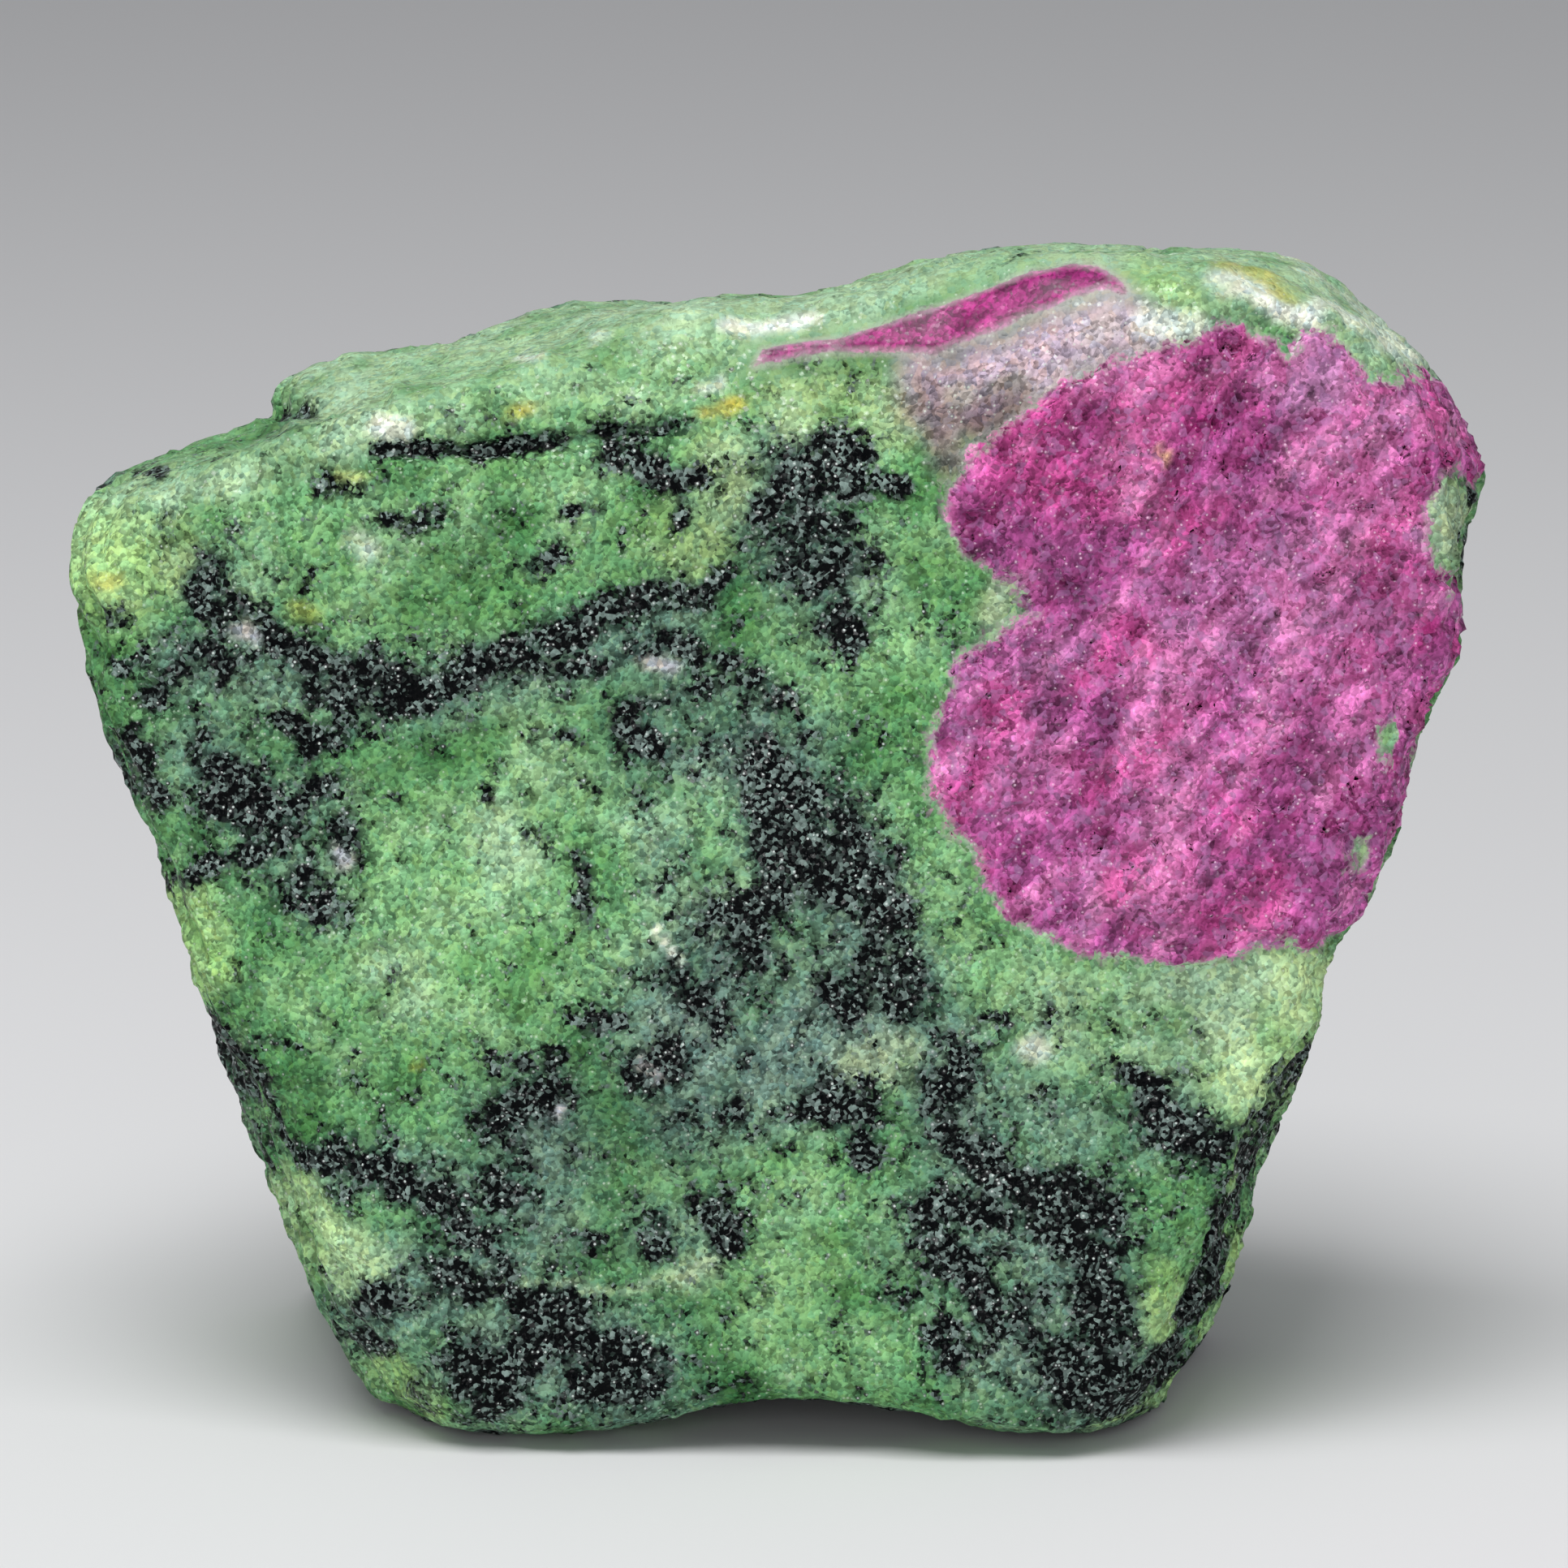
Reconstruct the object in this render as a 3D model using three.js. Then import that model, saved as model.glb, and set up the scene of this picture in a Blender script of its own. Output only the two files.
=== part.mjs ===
// Ruby in zoisite: a rough, broken lump of green zoisite rock with a large ruby crystal grown into it.
// It is one piece of stone that stands on its narrow end, on two worn feet with a shallow arch between them.
// Millimetres, +Z up. The broad front face looks along -Y, +X is to its right, and the origin is at the
// centre of the bounding box's base, so the feet lie on z = 0.
import * as THREE from 'three';
import { ImprovedNoise } from 'three/addons/math/ImprovedNoise.js';
import { mergeVertices } from 'three/addons/utils/BufferGeometryUtils.js';

// The stone is star-shaped around its core: every point of the surface is seen from there.
const CORE = new THREE.Vector3(0, 0, 27.5);
const DETAIL = 17; // the surface is a geodesic sphere of 20 * (DETAIL + 1)^2 triangles, pulled onto the stone
const EDGE_SHARPNESS = 48; // how tightly the fracture faces meet: higher gives sharper broken edges

// The sides run back from the front face along a direction that dips by LEAN, and spread a little as they
// go. Their outline, square to that direction and level with the core, is a closed curve of [across, up],
// counterclockwise from the right, in mm from the core.
const LEAN = THREE.MathUtils.degToRad(12);
const SPREAD = 0.0025; // growth of the outline for every mm that it runs back
const OUTLINE = [
  [33.8, 9.2], [33.9, 14.0], [34.7, 17.3], [34.5, 19.2], // the right side, up to the ruby's corner
  [31.2, 24.0], [27.4, 27.4], [25.7, 29.7], // the upper right slope
  [19.3, 29.6], [13.7, 29.9], [9.4, 29.4], // the flat top over the ruby
  [6.0, 27.5], [0.0, 26.6], [-8.6, 26.5], [-13.3, 27.3], // the long top
  [-18.7, 24.4], [-21.2, 23.7], [-23.3, 22.7], [-24.9, 20.1], // the knob at the upper left
  [-29.6, 18.8], [-33.2, 16.9], [-34.4, 13.8], [-33.7, 8.5], // the left shoulder
  [-32.3, 4.5], [-29.5, -2.9], [-28.4, -7.3], [-26.0, -13.2], [-24.2, -18.2], // the long left side
  [-22.2, -22.8], [-20.0, -27.2], [-18.6, -28.9], // the left foot's corner
  [-13.4, -30.2], [-6.6, -29.9], [-4.6, -29.3], [1.0, -29.0], [7.0, -29.3], [15.5, -30.4], // the base, with its arch
  [18.4, -29.8], [20.2, -27.6], [21.5, -25.0], [22.7, -21.4], // the right foot's corner
  [25.2, -14.7], [26.8, -9.1], [26.9, -6.6], [29.8, -2.2], [31.6, 3.4], // the long right side
];

const OUTLINE_SAMPLES = 720; // points that the smooth curve through them is read at

// Fracture faces: which way each one faces, and a point that its plane passes through. A face with a
// `spread` is a small one: it stays near its plane for that far around the point, and then bends away.
const FACES = [
  { toward: [-0.05, -1, 0.04], through: [0, -17, 27.5] }, // front
  { toward: [0.12, -1, 0.08], through: [18, -17, 37.5] }, // ruby front
  { toward: [-0.27, -0.72, 0.64], through: [12, -14, 54.1], spread: 7 }, // grey bevel
  { toward: [-0.25, -0.01, 0.97], through: [-19, -14, 51.3] }, // top left
  { toward: [0.02, 0.06, 1], through: [17, -13, 57.1] }, // top right
  { toward: [0.6, -0.35, 0.7], through: [26.5, -15, 55.9] }, // upper right band
  { toward: [-0.68, -0.5, 0.5], through: [-31, -14, 44.5] }, // left shoulder
  { toward: [-0.76, -0.57, -0.31], through: [-32, -15.5, 37.5] }, // left flank
  { toward: [-0.78, 0.6, 0.1], through: [-24, 12, 33.5] }, // left back
  { toward: [0.85, -0.42, 0.3], through: [31.5, -15, 48.5] }, // right edge
  { toward: [0.8, -0.5, -0.33], through: [24.4, -16, 17.5] }, // right flank
  { toward: [0.7, 0.7, -0.05], through: [26, 11, 29.5] }, // right back
  { toward: [0.08, 1, 0.15], through: [0, 18.5, 27.5] }, // back
  { toward: [-0.1, 0.6, 0.8], through: [0, 14, 50] }, // back top
  { toward: [0.1, 0.8, -0.6], through: [0, 14, 8.5] }, // back foot
  { toward: [0, 0, -1], through: [0, 0, -1] }, // underside
  { toward: [0.45, 0.8, 0.4], through: [13, 13.8, 42], spread: 9 }, // chip, upper back
  { toward: [-0.4, 0.9, -0.2], through: [-17, 16.8, 19], spread: 9 }, // chip, lower left of the back
  { toward: [0.85, 0.35, -0.3], through: [25, 5, 18], spread: 8 }, // chip, low on the right side
  { toward: [0.8, 0.25, 0.5], through: [30.2, 9, 45.5], spread: 6 }, // chip, high on the right side
  { toward: [-0.6, 0.55, 0.55], through: [-26, 9, 41.5], spread: 7 }, // chip, high on the left side
  { toward: [-0.9, 0.4, 0.1], through: [-25.4, 7, 18], spread: 8 }, // chip, low on the left side
  { toward: [0.35, 0.4, 0.85], through: [19, 8.5, 53.6], spread: 6 }, // chip, right rear of the top
  { toward: [-0.45, 0.25, 0.86], through: [-12, 10.5, 49.8], spread: 6 }, // chip, left rear of the top
].map(({ toward, through, spread }) => {
  const normal = new THREE.Vector3(...toward).normalize();
  const middle = new THREE.Vector3(...through).sub(CORE);
  return { normal, middle, distance: middle.dot(normal), spread };
});

// The faces are not flat: slow waves and smaller lumps move them in and out.
const WAVES = [
  { length: 18, height: 1.1 },
  { length: 7, height: 0.5 },
];
const noise = new ImprovedNoise();

// Hollows and swellings with a place of their own: where, how wide, and how far out (or in, if negative).
const SPOTS = [
  { at: [1, -4, -0.5], width: 9, rise: -1.1 }, // arch under the base
  { at: [1, 9, 2.5], width: 8, rise: -1.3 }, // arch under the base, back end
  { at: [-22, 2, 49.5], width: 4, rise: 1.2 }, // knob at the upper left
  { at: [-25, -9, 47.5], width: 4, rise: -0.8 }, // hollow between the knob and the front edge
  { at: [0, 6, 53.5], width: 8, rise: -0.8 }, // saddle of the long top
  { at: [-20, -17, 33.5], width: 8, rise: -0.9 }, // hollow of the dark band
  { at: [-14, -17, 23.5], width: 9, rise: 0.8 }, // swelling of the pale patch
  { at: [33, -6, 46.5], width: 4, rise: 0.9 }, // ruby corner
].map(({ at, width, rise }) => ({ at: new THREE.Vector3(...at), width, rise }));

/** The outline's distance from the core for each direction in its own plane, from its smooth closed curve. */
function outlineTable() {
  const points = OUTLINE.map(([across, up]) => new THREE.Vector3(across, up, 0));
  const curve = new THREE.CatmullRomCurve3(points, true, 'centripetal');
  return curve
    .getPoints(OUTLINE_SAMPLES)
    .map((p) => ({ angle: Math.atan2(p.y, p.x), radius: Math.hypot(p.x, p.y) }))
    .sort((a, b) => a.angle - b.angle);
}

const outline = outlineTable();

function outlineRadius(angle) {
  let high = outline.findIndex((sample) => sample.angle >= angle);
  if (high < 0) high = 0;
  const before = outline[(high + outline.length - 1) % outline.length];
  const after = outline[high];
  const turn = (a) => (a + 2 * Math.PI) % (2 * Math.PI);
  const span = turn(after.angle - before.angle);
  const share = span > 0 ? turn(angle - before.angle) / span : 0;
  return THREE.MathUtils.lerp(before.radius, after.radius, share);
}

/** How far the surface lies from the core in a direction, with every face moved out by `shift` mm. */
function reach(direction, shift) {
  const across = direction.x;
  const up = direction.y * Math.sin(LEAN) + direction.z * Math.cos(LEAN);
  const back = direction.y * Math.cos(LEAN) - direction.z * Math.sin(LEAN);
  const sideways = Math.hypot(across, up) / outlineRadius(Math.atan2(up, across)) - SPREAD * back;
  let sum = Math.max(sideways, 0) ** EDGE_SHARPNESS;
  for (const face of FACES) {
    const facing = face.normal.dot(direction);
    if (facing <= 0) continue;
    sum += bend(face, direction) * (facing / (face.distance + shift)) ** EDGE_SHARPNESS;
  }
  return sum ** (-1 / EDGE_SHARPNESS);
}

/** How much of its hold on the surface a face keeps in a direction: all of it, if it has no spread. */
function bend({ middle, spread }, direction) {
  if (!spread) return 1;
  const aside = direction.clone().multiplyScalar(middle.length()).distanceTo(middle);
  return Math.exp(-((aside / spread) ** 2));
}

function waves(point) {
  return WAVES.reduce(
    (total, { length, height }) =>
      total + height * noise.noise(point.x / length, point.y / length, point.z / length),
    0,
  );
}

function spots(point) {
  return SPOTS.reduce(
    (total, { at, width, rise }) => total + rise * Math.exp(-point.distanceToSquared(at) / (width * width)),
    0,
  );
}

/** The surface point in a direction from the core. The feet are worn flat on z = 0. */
function surfacePoint(direction) {
  const smooth = direction.clone().multiplyScalar(reach(direction, 0)).add(CORE);
  const distance = reach(direction, waves(smooth)) + spots(smooth);
  const point = direction.clone().multiplyScalar(distance).add(CORE);
  point.z = Math.max(point.z, 0);
  return point;
}

function stoneGeometry() {
  const sphere = new THREE.IcosahedronGeometry(1, DETAIL);
  sphere.deleteAttribute('normal');
  sphere.deleteAttribute('uv');
  const geometry = mergeVertices(sphere);
  const position = geometry.getAttribute('position');
  const direction = new THREE.Vector3();
  for (let i = 0; i < position.count; i++) {
    direction.fromBufferAttribute(position, i).normalize();
    position.setXYZ(i, ...surfacePoint(direction).toArray());
  }
  geometry.computeBoundingBox();
  const middle = geometry.boundingBox.getCenter(new THREE.Vector3());
  geometry.translate(-middle.x, -middle.y, -geometry.boundingBox.min.z);
  geometry.computeVertexNormals();
  return geometry;
}

const zoisite = new THREE.MeshStandardMaterial({ color: 0x3f7f45, roughness: 0.55, metalness: 0 });

const part = new THREE.Group();
const stone = new THREE.Mesh(stoneGeometry(), zoisite);
stone.name = 'stone';
part.add(stone);

export default part;
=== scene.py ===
"""Ruby in zoisite: a rough, broken lump of green zoisite with a large ruby grown into its right side.

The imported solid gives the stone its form. This script gives it a fine, broken surface and its minerals:
green rock with black hornblende patches, the granular ruby, and a second, smooth ruby along the top edge.
"""

import math

import bmesh
import bpy
import numpy as np
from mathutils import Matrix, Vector


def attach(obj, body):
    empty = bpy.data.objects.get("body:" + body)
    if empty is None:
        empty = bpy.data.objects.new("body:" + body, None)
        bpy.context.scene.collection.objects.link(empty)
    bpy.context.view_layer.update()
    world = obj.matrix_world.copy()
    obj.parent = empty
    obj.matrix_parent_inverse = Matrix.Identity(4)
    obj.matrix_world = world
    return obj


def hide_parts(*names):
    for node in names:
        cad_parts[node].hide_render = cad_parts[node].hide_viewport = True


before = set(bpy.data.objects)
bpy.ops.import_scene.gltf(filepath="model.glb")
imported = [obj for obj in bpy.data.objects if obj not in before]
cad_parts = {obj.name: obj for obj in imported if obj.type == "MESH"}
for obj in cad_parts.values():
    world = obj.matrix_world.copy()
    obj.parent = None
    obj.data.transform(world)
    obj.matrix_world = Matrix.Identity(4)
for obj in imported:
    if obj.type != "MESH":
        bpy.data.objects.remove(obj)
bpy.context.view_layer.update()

MM = 0.001

# The stone's own directions: its layers run back from the front face along a direction that dips by LEAN,
# and spread a little as they go. A mark's place is (across, up) in mm from the core, square to it.
CORE_HEIGHT = 27.5
LEAN = math.radians(12)
SPREAD = 0.0025

VOXEL = 0.39  # mm, edge of the fine mesh
STREAK_TURN = math.radians(38)  # how far the ruby's streaks lean to the right from upright
RUBY_DEPTH_Y = -4.0  # mm, how far back the big ruby reaches from its front face
STRIP_DEPTH_Y = 4.0  # mm, how far back the second ruby's face reaches
TOWARD_FRONT = np.array([0.0, -math.cos(LEAN), math.sin(LEAN)])

# Minerals, as linear colours.
DEEP_GREEN = (0.050, 0.165, 0.055)
MID_GREEN = (0.120, 0.310, 0.120)
LIGHT_GREEN = (0.220, 0.450, 0.195)
LIME = (0.360, 0.590, 0.235)
BRIGHT_LIME = (0.560, 0.800, 0.400)
PALE_GREEN = (0.370, 0.540, 0.340)
# Colour of the painted glints on crystal faces in the black patches.
PAINTED_GLINT_SILVER = (0.460, 0.450, 0.460)
WHITE = (0.800, 0.840, 0.760)
HAZE = (0.175, 0.270, 0.240)
SHADE = (0.050, 0.090, 0.075)
LAVENDER = (0.475, 0.360, 0.430)
MAUVE = (0.240, 0.150, 0.190)
OCHRE = (0.560, 0.500, 0.100)
OLIVE = (0.460, 0.620, 0.300)
CREAM = (0.430, 0.550, 0.350)
RUBY = (0.440, 0.095, 0.305)
CRIMSON = (0.520, 0.065, 0.250)
PLUM = (0.175, 0.030, 0.115)
PINK = (0.670, 0.235, 0.460)
LILAC = (0.520, 0.250, 0.460)
MAGENTA = (0.420, 0.020, 0.190)
CERISE = (0.225, 0.008, 0.110)

# Single grains, and painted sparkles: bright spots painted as colour on the glassy ones, as painted
# highlights.
BLACK = (0.0010, 0.0015, 0.0020)
GREY_GRAIN = (0.235, 0.320, 0.290)
CRIMSON_GRAIN = (0.520, 0.050, 0.240)
LILAC_GRAIN = (0.420, 0.200, 0.420)
PAINTED_SPARKLE_GREEN = (0.660, 0.800, 0.640)
PAINTED_SPARKLE_GREY = (0.600, 0.680, 0.640)
PAINTED_SPARKLE_PINK = (0.900, 0.580, 0.780)
RIM = (0.520, 0.480, 0.460)  # the rubies' edges

# The green grains' hues differ a little: these multiply the painted colour.
COOL_HUE = (0.91, 0.99, 1.09)
WARM_HUE = (1.10, 1.01, 0.90)

# The big ruby's outline on the front face, counterclockwise from the notch in its left side.
RUBY_OUTLINE = [
    (12.3, 11.0), (11.7, 10.0), (10.0, 9.2), (8.6, 7.8), (7.8, 5.5), (7.4, 3.8), (7.6, 1.5), (8.2, -0.3),
    (9.7, -1.5), (10.1, -3.0), (11.0, -4.5), (12.6, -5.4), (14.5, -6.3), (16.8, -7.0), (19.0, -7.0),
    (22.0, -6.9), (24.5, -5.9), (25.5, -5.8), (26.3, -6.6), (27.4, -5.8), (28.6, -4.0), (28.0, -2.5),
    (28.6, -0.9), (30.0, -0.2), (31.0, 1.0), (31.1, 2.4), (29.9, 3.0), (30.1, 4.7), (31.6, 5.0),
    (32.8, 6.3), (34.0, 8.5), (34.2, 10.5), (33.3, 11.5), (32.6, 13.0), (32.3, 15.0), (33.0, 17.2),
    (34.4, 17.6), (36.6, 17.8), (36.6, 19.6), (34.6, 21.0), (32.8, 22.5), (30.7, 22.3), (29.5, 22.2),
    (28.3, 23.7), (27.2, 24.6), (26.2, 24.5), (25.6, 23.3), (24.3, 24.0), (23.2, 24.8), (22.0, 25.1),
    (21.2, 24.4), (20.1, 24.0), (19.2, 24.2), (17.0, 23.4), (15.0, 22.6), (13.0, 21.5), (10.8, 19.9),
    (9.0, 18.2), (8.3, 17.0), (8.3, 15.6), (8.9, 14.2), (10.0, 12.7), (11.5, 12.1),
]

# Its outline on the right side of the stone, as [y, z] in mm.
RUBY_SIDE_OUTLINE = [
    (-24.0, 25.0), (-15.5, 25.5), (-13.0, 27.0), (-10.5, 27.5), (-9.5, 30.0), (-6.5, 31.5), (-6.0, 34.5),
    (-3.5, 36.5), (-4.0, 39.5), (-5.5, 42.0), (-9.0, 42.8), (-24.0, 42.6), (-24.0, 47.6), (-14.0, 47.2),
    (-9.5, 46.6), (-5.5, 46.0), (-3.0, 46.8), (-2.5, 48.4), (-5.0, 50.4), (-8.5, 51.5), (-12.0, 52.5),
    (-24.0, 53.0),
]

# The second ruby's smooth face along the top edge.
STRIP_OUTLINE = [
    (-1.5, 22.8), (0.0, 23.1), (1.0, 23.4), (3.0, 23.5), (5.5, 23.5), (7.5, 23.4), (9.5, 24.1),
    (12.0, 25.2), (14.5, 26.2), (16.0, 26.6), (17.4, 26.3), (17.0, 26.9), (15.9, 27.7), (14.2, 27.8),
    (12.0, 27.3), (9.5, 26.3), (7.5, 25.6), (5.5, 25.0), (3.0, 24.2), (1.0, 24.0), (-1.0, 23.7),
]

# Black hornblende: (strength, radius, path).
DARK = [
    # thin seams near the top edge
    (1.0, 0.40, [(-20.0, 18.9), (-17.0, 18.8), (-14.0, 18.8), (-11.0, 19.2)]),
    (0.7, 0.28, [(-11.0, 19.2), (-7.0, 20.1), (-4.8, 20.1)]),
    (0.9, 0.30, [(-25.3, 20.5), (-23.8, 20.9)]),
    (0.8, 0.25, [(-32.5, 17.4), (-31.0, 17.7)]),
    (0.6, 0.50, [(-23.0, 16.5), (-21.0, 16.9)]),
    (0.7, 0.55, [(-20.0, 15.2), (-18.5, 14.8), (-17.0, 15.5)]),
    (0.9, 0.55, [(-12.4, 12.7), (-11.3, 13.5)]),
    (0.7, 0.35, [(-10.8, 15.5), (-9.5, 15.3)]),
    # patches under the top edge
    (1.0, 0.95, [(-8.2, 18.3), (-6.8, 17.8)]),
    (0.7, 0.50, [(-7.6, 19.4), (-4.8, 19.9)]),
    (1.0, 0.70, [(-5.8, 17.2), (-4.0, 17.2)]),
    (0.9, 0.55, [(-5.0, 16.0), (-4.8, 15.3)]),
    (0.9, 0.60, [(-1.4, 15.8), (-0.3, 16.0)]),
    (1.0, 1.30, [(1.0, 17.3), (2.8, 17.6)]),
    (1.0, 0.80, [(2.0, 18.9), (3.6, 18.6)]),
    (1.0, 0.60, [(4.4, 17.4), (5.8, 16.7)]),
    (0.7, 1.00, [(1.0, 15.0), (2.6, 14.2)]),
    (0.75, 1.00, [(0.6, 12.8), (2.8, 12.6), (3.6, 13.4)]),
    (0.95, 0.85, [(2.8, 9.9), (3.6, 9.5)]),
    # upper left cluster and the long band that crosses from it
    (0.8, 1.00, [(-28.8, 12.6), (-29.0, 11.0), (-27.6, 10.4)]),
    (1.0, 0.80, [(-27.6, 10.2), (-26.0, 10.0), (-25.2, 9.0)]),
    (0.9, 0.75, [(-29.2, 8.8), (-28.0, 7.7)]),
    (0.9, 0.50, [(-33.6, 10.2), (-33.0, 10.2)]),
    (0.8, 0.45, [(-33.3, 7.8), (-32.0, 8.0)]),
    (0.9, 0.75, [(-31.6, 6.2), (-30.8, 7.0)]),
    (0.8, 0.50, [(-32.6, 4.9), (-31.8, 2.6), (-31.0, 1.3)]),
    (1.0, 0.80, [(-24.5, 8.3), (-22.0, 7.9), (-19.5, 7.2), (-17.0, 7.0), (-15.0, 8.2), (-12.5, 8.9)]),
    (1.0, 0.75, [(-12.5, 8.9), (-10.3, 9.7), (-8.3, 10.7), (-6.3, 11.3)]),
    (0.8, 0.65, [(-6.3, 11.3), (-4.2, 11.4), (-3.0, 12.3)]),
    (0.9, 0.65, [(-23.5, 6.6), (-20.0, 6.1), (-18.0, 6.2)]),
    (0.8, 0.50, [(-14.0, 8.0), (-11.0, 7.9), (-8.8, 8.2)]),
    (0.9, 0.60, [(-7.4, 8.6), (-5.6, 9.1), (-4.3, 8.2)]),
    (0.9, 0.45, [(-3.0, 8.1), (-2.4, 7.9)]),
    (0.6, 0.40, [(-8.0, 5.6), (-5.5, 6.5), (-2.8, 7.0)]),
    (0.7, 0.70, [(-1.2, 7.1), (-0.2, 6.0)]),
    (0.9, 0.65, [(-24.9, 5.0), (-23.4, 4.2), (-21.4, 4.8)]),
    # left cluster below the band
    (1.0, 1.00, [(-28.4, 2.9), (-27.0, 1.8), (-25.8, 0.8)]),
    (0.9, 0.80, [(-28.4, 0.8), (-26.6, 0.0)]),
    (1.0, 0.70, [(-25.8, 0.8), (-25.0, -0.4)]),
    (0.85, 0.55, [(-25.0, 0.6), (-23.6, 1.4), (-22.6, 2.1)]),
    (0.9, 0.60, [(-26.2, -1.2), (-28.0, -2.0), (-29.6, -2.8)]),
    (1.0, 0.60, [(-22.0, -0.1), (-22.1, -1.6)]),
    (0.8, 0.50, [(-24.4, -2.4), (-24.0, -2.8)]),
    (0.85, 0.70, [(-23.6, -4.0), (-22.2, -4.6)]),
    (0.9, 0.45, [(-10.0, -1.9), (-9.9, -3.5), (-9.7, -4.8)]),
    (0.9, 0.65, [(-7.0, 4.4), (-6.5, 3.7)]),
    (0.6, 0.40, [(-12.4, 4.6), (-10.5, 4.4)]),
    (0.5, 0.55, [(-14.9, 1.9), (-14.6, 1.3)]),
    (0.7, 0.35, [(-12.7, -0.8), (-12.2, -0.8)]),
    # central mass
    (1.0, 1.20, [(-1.2, 3.0), (-1.0, 1.2), (0.0, 0.2)]),
    (0.7, 1.00, [(1.2, 1.4), (3.2, 0.4)]),
    (1.0, 1.70, [(0.6, -1.0), (2.2, -2.6)]),
    (1.0, 1.20, [(3.6, -0.8), (4.4, -2.6)]),
    (0.95, 1.00, [(-0.6, -3.6), (-2.0, -4.8), (-1.6, -6.2)]),
    (0.8, 0.70, [(-3.6, -4.4), (-3.0, -4.8)]),
    (0.95, 0.90, [(5.2, -3.6), (5.6, -4.6)]),
    (0.7, 0.70, [(4.6, -5.6), (4.2, -6.8)]),
    (0.9, 0.80, [(2.6, -8.7), (3.4, -9.2)]),
    (0.7, 0.95, [(5.0, -7.4), (6.4, -8.4), (6.4, -9.6)]),
    (1.0, 1.00, [(7.6, -13.2), (8.6, -13.4)]),
    (0.8, 0.60, [(9.0, -11.8), (8.4, -14.4), (8.6, -15.6)]),
    (1.0, 0.95, [(1.8, -14.0), (3.6, -14.4)]),
    (0.95, 0.75, [(3.8, -15.6), (3.9, -16.6)]),
    (0.6, 0.45, [(10.4, -9.8), (11.6, -10.0)]),
    (0.6, 0.70, [(12.6, -9.2), (13.4, -9.6)]),
    # small patches left of the middle
    (1.0, 0.90, [(-6.8, -12.4), (-5.9, -11.8)]),
    (0.9, 0.50, [(-9.6, -9.9), (-8.6, -9.6)]),
    (0.9, 0.30, [(-12.9, -12.1), (-12.7, -12.1)]),
    (0.6, 0.55, [(-11.0, -11.5), (-12.0, -12.8)]),
    (0.8, 0.80, [(-11.6, -13.8), (-13.4, -14.2), (-14.4, -15.0)]),
    (0.9, 0.75, [(-14.2, -17.6), (-13.8, -18.4)]),
    (0.8, 0.40, [(-10.2, -20.6), (-9.2, -20.9)]),
    (0.6, 0.40, [(-5.6, -14.9), (-4.8, -14.8)]),
    (0.8, 0.45, [(-2.4, -14.2), (-2.1, -14.8)]),
    (0.85, 0.60, [(-6.3, -20.2), (-6.4, -21.8)]),
    (0.95, 0.75, [(-3.3, -19.4), (-2.8, -20.9)]),
    (0.7, 0.45, [(-2.4, -21.2), (-1.8, -21.3)]),
    (0.8, 0.40, [(-3.1, -9.6), (-2.8, -10.2)]),
    (0.6, 0.60, [(-5.6, -7.2), (-5.2, -7.6)]),
    (0.6, 0.60, [(-3.8, -8.4), (-4.6, -9.0)]),
    # lower left band and the left edge
    (1.0, 0.65, [(-24.0, -16.7), (-22.0, -17.2), (-20.2, -17.4)]),
    (1.0, 0.85, [(-20.0, -17.4), (-18.5, -18.4), (-16.8, -19.1)]),
    (0.9, 0.50, [(-16.6, -19.4), (-15.4, -20.4), (-14.2, -21.6), (-13.6, -22.6)]),
    (0.7, 0.45, [(-22.6, -18.3), (-21.8, -18.7)]),
    (0.85, 0.50, [(-28.2, -9.7), (-26.9, -11.8), (-25.9, -13.6)]),
    (0.8, 0.45, [(-25.7, -14.4), (-25.3, -15.6), (-24.8, -16.6)]),
    (0.6, 0.40, [(-26.6, -10.8), (-25.2, -11.2)]),
    (0.85, 0.90, [(-16.6, -22.4), (-15.6, -23.2)]),
    (0.8, 0.80, [(-20.6, -23.8), (-19.8, -24.0)]),
    (0.6, 0.45, [(-21.3, -25.2), (-20.2, -26.4)]),
    # base, left foot
    (1.0, 0.80, [(-13.0, -24.2), (-11.2, -24.1), (-10.0, -24.7)]),
    (1.0, 1.20, [(-15.8, -27.2), (-14.2, -27.6), (-14.4, -28.6)]),
    (0.95, 0.90, [(-12.6, -25.8), (-9.6, -26.2), (-8.0, -26.6)]),
    (1.0, 1.10, [(-9.6, -28.0), (-8.2, -27.6), (-6.8, -27.7)]),
    (0.7, 0.60, [(-18.4, -28.2), (-17.8, -28.8)]),
    # lower right mass and the right foot
    (1.0, 0.80, [(9.6, -16.6), (10.6, -17.6), (12.4, -18.0)]),
    (1.0, 1.40, [(12.6, -18.4), (14.4, -18.8), (16.0, -19.4)]),
    (0.95, 0.80, [(7.4, -19.4), (8.8, -19.0), (10.6, -19.4)]),
    (0.95, 0.90, [(8.2, -21.4), (9.2, -22.4), (10.0, -23.6), (10.6, -24.8)]),
    (1.0, 1.15, [(14.2, -20.6), (15.4, -21.8), (15.8, -23.4), (16.2, -25.4)]),
    (1.0, 0.85, [(8.0, -25.8), (8.2, -26.9)]),
    (1.0, 1.15, [(13.8, -27.4), (15.0, -28.4), (16.8, -28.6)]),
    (1.0, 0.85, [(17.2, -28.6), (18.5, -27.7), (19.3, -26.4)]),
    (0.9, 0.90, [(15.6, -26.6), (16.6, -27.0)]),
    (0.6, 0.60, [(5.2, -23.6), (6.0, -24.0)]),
    (0.6, 0.60, [(12.0, -24.6), (12.6, -25.4)]),
    # right of the middle, and the bands along the lower right edge
    (0.9, 0.60, [(17.2, -12.3), (18.4, -12.8)]),
    (0.95, 0.80, [(18.2, -13.8), (19.2, -15.4), (20.4, -16.4)]),
    (1.0, 0.75, [(20.4, -15.4), (22.0, -15.8), (21.2, -16.9)]),
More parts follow.
